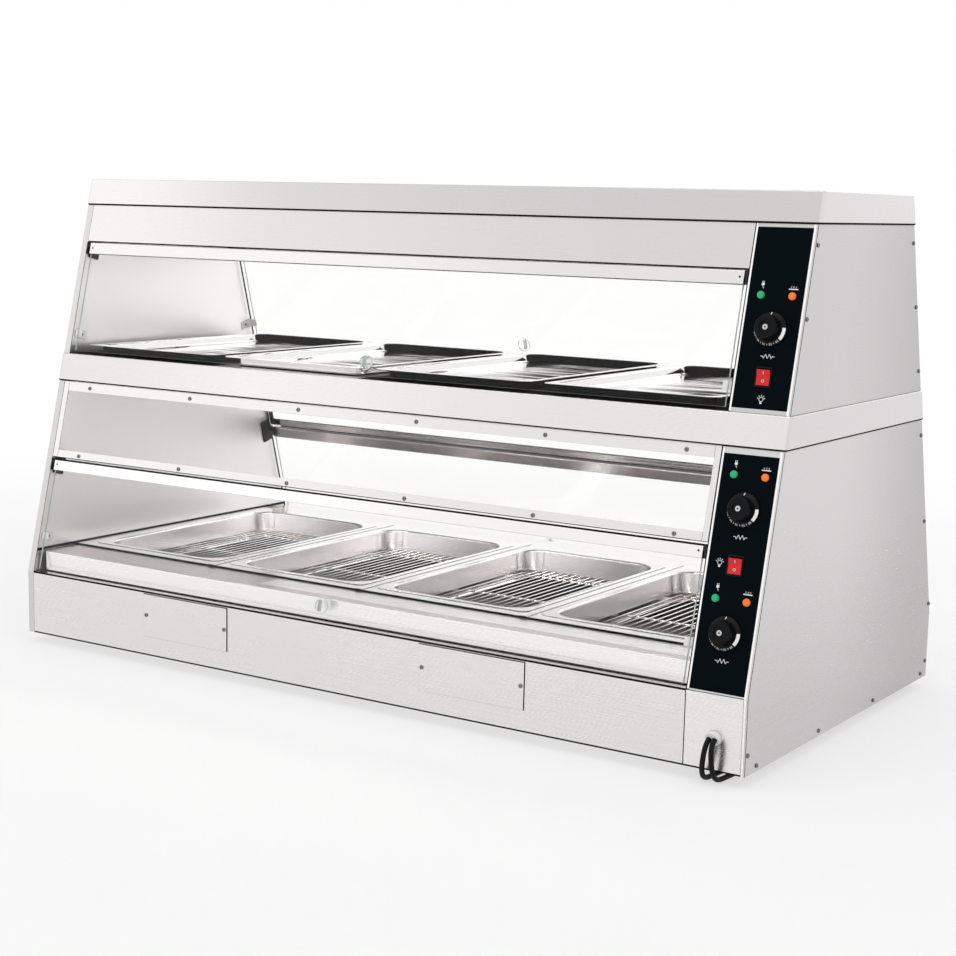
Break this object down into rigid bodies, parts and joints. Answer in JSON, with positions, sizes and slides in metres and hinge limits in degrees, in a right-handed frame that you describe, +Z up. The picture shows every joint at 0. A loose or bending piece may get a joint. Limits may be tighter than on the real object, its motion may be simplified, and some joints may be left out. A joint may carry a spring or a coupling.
{
  "type": "heated display case",
  "caption": "Tiered stainless counter case that keeps food hot, with lift-up glass flaps, lift-out pans and trays, and thermostat controls on a black panel.",
  "frame": {"origin": "on the table under the middle of the base", "axes": "+X along the case towards the control box, -Y the customers' side with the controls, +Z up"},
  "size_m": [1.566, 0.9778, 0.911],
  "materials": {
    "stainless": "fine brushed",
    "polished_stainless": "bright pressed and polished",
    "dark_steel": "dark satin",
    "element": "dull oxidised sheath",
    "glass": "clear toughened",
    "lamp_glass": "frosted",
    "rubber": "matt",
    "white_nylon": "matt moulded",
    "black_panel": "satin black",
    "black_plastic": "fine moulded",
    "red_plastic": "translucent gloss",
    "pilot_lens": "translucent gloss",
    "cord_black": "matt sheath"
  },
  "bodies": {
    "case": {"base_tray": "stainless", "base_front_panel": "stainless", "access_covers": "stainless", "cord_outlet_cover": "stainless", "feet": "rubber", "lower_left_side": "stainless", "lower_right_side": "stainless", "deck_ledges": "stainless", "pan_deck": "stainless", "divider_bars": "stainless", "heating_elements": "element", "mid_shelf": "stainless", "upper_left_side": "stainless", "upper_right_side": "stainless", "control_box_walls": "stainless", "lid": "stainless", "upper_fascias": "stainless", "window_panes": "glass", "window_strips": "stainless", "hinge_brackets": "dark_steel", "flap_stops": "white_nylon", "lamps": "lamp_glass", "control_panels": "black_panel", "thermostats": "black_plastic", "rocker_housings": "black_plastic", "pilot_lamps": "pilot_lens", "terminal_block": "white_nylon", "screws": "polished_stainless", "cord_grommet": "white_nylon", "left_cord": "cord_black", "left_cord_coil": "cord_black", "left_plug": "cord_black", "right_cord": "cord_black", "right_cord_coil": "cord_black", "right_plug": "cord_black"},
    "lower_front_flap": {"lower_front_flap_rail": "polished_stainless", "lower_front_flap_glass": "glass"},
    "lower_rear_flap": {"lower_rear_flap_rail": "polished_stainless", "lower_rear_flap_glass": "glass"},
    "upper_front_flap": {"upper_front_flap_rail": "polished_stainless", "upper_front_flap_glass": "glass"},
    "upper_rear_flap": {"upper_rear_flap_rail": "polished_stainless", "upper_rear_flap_glass": "glass"},
    "thermostat_dial_1": {"thermostat_dial_1": "black_plastic"},
    "thermostat_dial_2": {"thermostat_dial_2": "black_plastic"},
    "thermostat_dial_3": {"thermostat_dial_3": "black_plastic"},
    "light_rocker_1": {"light_rocker_1": "red_plastic"},
    "light_rocker_2": {"light_rocker_2": "red_plastic"},
    "pan_1": {"pan_1": "polished_stainless"},
    "rack_1": {"rack_1": "polished_stainless"},
    "tray_1": {"tray_1": "polished_stainless"},
    "pan_2": {"pan_2": "polished_stainless"},
    "rack_2": {"rack_2": "polished_stainless"},
    "tray_2": {"tray_2": "polished_stainless"},
    "pan_3": {"pan_3": "polished_stainless"},
    "rack_3": {"rack_3": "polished_stainless"},
    "tray_3": {"tray_3": "polished_stainless"},
    "pan_4": {"pan_4": "polished_stainless"},
    "rack_4": {"rack_4": "polished_stainless"},
    "tray_4": {"tray_4": "polished_stainless"}
  },
  "joints": [
    {"name": "lower_front_flap_hinge", "type": "hinge", "parent": "case", "child": "lower_front_flap", "pos_m": [0, -0.34104, 0.35617], "axis": [-1, 0, 0], "range_deg": [0, 95]},
    {"name": "lower_rear_flap_hinge", "type": "hinge", "parent": "case", "child": "lower_rear_flap", "pos_m": [0, 0.33131, 0.36205], "axis": [1, 0, 0], "range_deg": [0, 95]},
    {"name": "upper_front_flap_hinge", "type": "hinge", "parent": "case", "child": "upper_front_flap", "pos_m": [0, -0.23728, 0.77867], "axis": [-1, 0, 0], "range_deg": [0, 95]},
    {"name": "upper_rear_flap_hinge", "type": "hinge", "parent": "case", "child": "upper_rear_flap", "pos_m": [0, 0.21331, 0.77855], "axis": [1, 0, 0], "range_deg": [0, 95]},
    {"name": "thermostat_dial_1_turn", "type": "hinge", "parent": "case", "child": "thermostat_dial_1", "pos_m": [0.726, -0.26094, 0.697], "axis": [0, -0.9711, 0.2385], "range_deg": [-270, 0]},
    {"name": "thermostat_dial_2_turn", "type": "hinge", "parent": "case", "child": "thermostat_dial_2", "pos_m": [0.726, -0.3286, 0.4215], "axis": [0, -0.9711, 0.2385], "range_deg": [-270, 0]},
    {"name": "thermostat_dial_3_turn", "type": "hinge", "parent": "case", "child": "thermostat_dial_3", "pos_m": [0.726, -0.37465, 0.234], "axis": [0, -0.9711, 0.2385], "range_deg": [-270, 0]},
    {"name": "light_rocker_1_tilt", "type": "hinge", "parent": "case", "child": "light_rocker_1", "pos_m": [0.726, -0.27498, 0.62305], "axis": [-1, 0, 0], "range_deg": [0, 14]},
    {"name": "light_rocker_2_tilt", "type": "hinge", "parent": "case", "child": "light_rocker_2", "pos_m": [0.726, -0.34547, 0.33605], "axis": [-1, 0, 0], "range_deg": [0, 14]},
    {"name": "pan_1_lift", "type": "slide", "parent": "case", "child": "pan_1", "axis": [0, 0, 1], "range_m": [0, 0.12]},
    {"name": "rack_1_lift", "type": "slide", "parent": "pan_1", "child": "rack_1", "axis": [0, 0, 1], "range_m": [0, 0.06]},
    {"name": "tray_1_lift", "type": "slide", "parent": "case", "child": "tray_1", "axis": [0, 0, 1], "range_m": [0, 0.02]},
    {"name": "pan_2_lift", "type": "slide", "parent": "case", "child": "pan_2", "axis": [0, 0, 1], "range_m": [0, 0.12]},
    {"name": "rack_2_lift", "type": "slide", "parent": "pan_2", "child": "rack_2", "axis": [0, 0, 1], "range_m": [0, 0.06]},
    {"name": "tray_2_lift", "type": "slide", "parent": "case", "child": "tray_2", "axis": [0, 0, 1], "range_m": [0, 0.02]},
    {"name": "pan_3_lift", "type": "slide", "parent": "case", "child": "pan_3", "axis": [0, 0, 1], "range_m": [0, 0.12]},
    {"name": "rack_3_lift", "type": "slide", "parent": "pan_3", "child": "rack_3", "axis": [0, 0, 1], "range_m": [0, 0.06]},
    {"name": "tray_3_lift", "type": "slide", "parent": "case", "child": "tray_3", "axis": [0, 0, 1], "range_m": [0, 0.02]},
    {"name": "pan_4_lift", "type": "slide", "parent": "case", "child": "pan_4", "axis": [0, 0, 1], "range_m": [0, 0.12]},
    {"name": "rack_4_lift", "type": "slide", "parent": "pan_4", "child": "rack_4", "axis": [0, 0, 1], "range_m": [0, 0.06]},
    {"name": "tray_4_lift", "type": "slide", "parent": "case", "child": "tray_4", "axis": [0, 0, 1], "range_m": [0, 0.02]}
  ]
}
